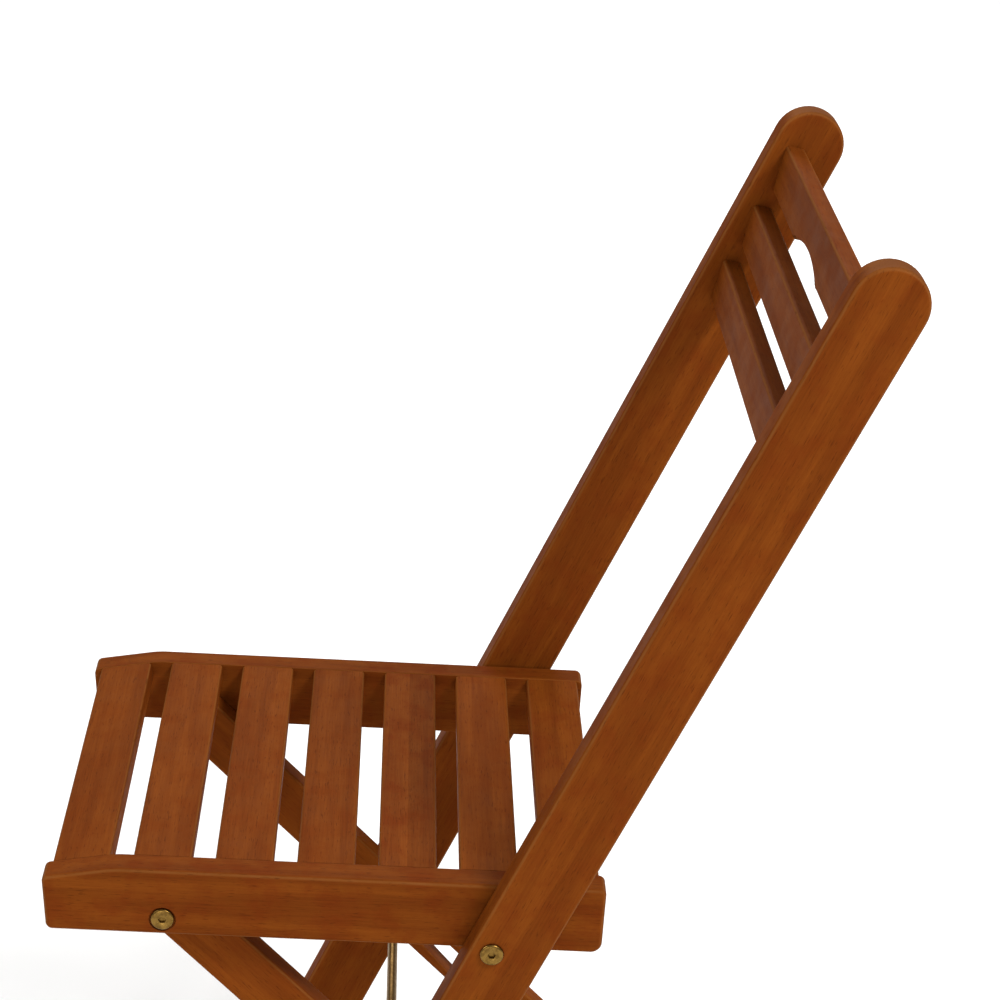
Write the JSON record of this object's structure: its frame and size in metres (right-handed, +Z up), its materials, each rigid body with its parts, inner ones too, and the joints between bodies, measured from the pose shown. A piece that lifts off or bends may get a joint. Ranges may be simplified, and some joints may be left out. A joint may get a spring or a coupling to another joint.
{
  "type": "folding chair",
  "caption": "Folding slatted garden chair in oiled hardwood, with pivot bolts, a cross rod that slides in slotted rear legs, and a hand-hold in the top slat.",
  "frame": {"origin": "on the floor, at the middle of the open chair's box", "axes": "+X to the sitter's left, +Y to the back of the chair, +Z up"},
  "size_m": [0.4016, 0.5841, 0.9054],
  "materials": {
    "oiled_hardwood": "oiled, satin",
    "brass": "worn satin",
    "zinc_steel": "zinc plated"
  },
  "bodies": {
    "back_frame": {"upright_left": "oiled_hardwood", "upright_right": "oiled_hardwood", "back_slat_top": "oiled_hardwood", "back_slat_middle": "oiled_hardwood", "back_slat_lower": "oiled_hardwood", "front_stretcher": "oiled_hardwood", "cross_rod": "brass", "rod_bolt_left": "brass", "rod_bolt_right": "brass", "seat_bolt_left": "brass", "seat_bolt_right": "brass"},
    "seat": {"seat_rail_left": "oiled_hardwood", "seat_rail_right": "oiled_hardwood", "seat_slat_1": "oiled_hardwood", "seat_slat_2": "oiled_hardwood", "seat_slat_3": "oiled_hardwood", "seat_slat_4": "oiled_hardwood", "seat_slat_5": "oiled_hardwood", "seat_slat_6": "oiled_hardwood", "seat_slat_7": "oiled_hardwood", "seat_nut_left": "zinc_steel", "seat_nut_right": "zinc_steel", "seat_washer_left": "zinc_steel", "seat_washer_right": "zinc_steel", "leg_bolt_left": "brass", "leg_bolt_right": "brass"},
    "rear_legs": {"rear_leg_left": "oiled_hardwood", "rear_leg_right": "oiled_hardwood", "rear_stretcher": "oiled_hardwood", "leg_washer_left": "zinc_steel", "leg_washer_right": "zinc_steel", "leg_nut_left": "brass", "leg_nut_right": "brass"}
  },
  "joints": [
    {"name": "seat_fold", "type": "hinge", "parent": "back_frame", "child": "seat", "pos_m": [0, 0.02614, 0.4], "axis": [-1, 0, 0], "range_deg": [0, 111.36]},
    {"name": "leg_fold", "type": "hinge", "parent": "seat", "child": "rear_legs", "pos_m": [0, -0.20764, 0.41021], "axis": [1, 0, 0], "range_deg": [0, 44.66]}
  ],
  "couplings": [
    {"joint": "leg_fold", "follows": "seat_fold", "ratio": 0.401}
  ]
}
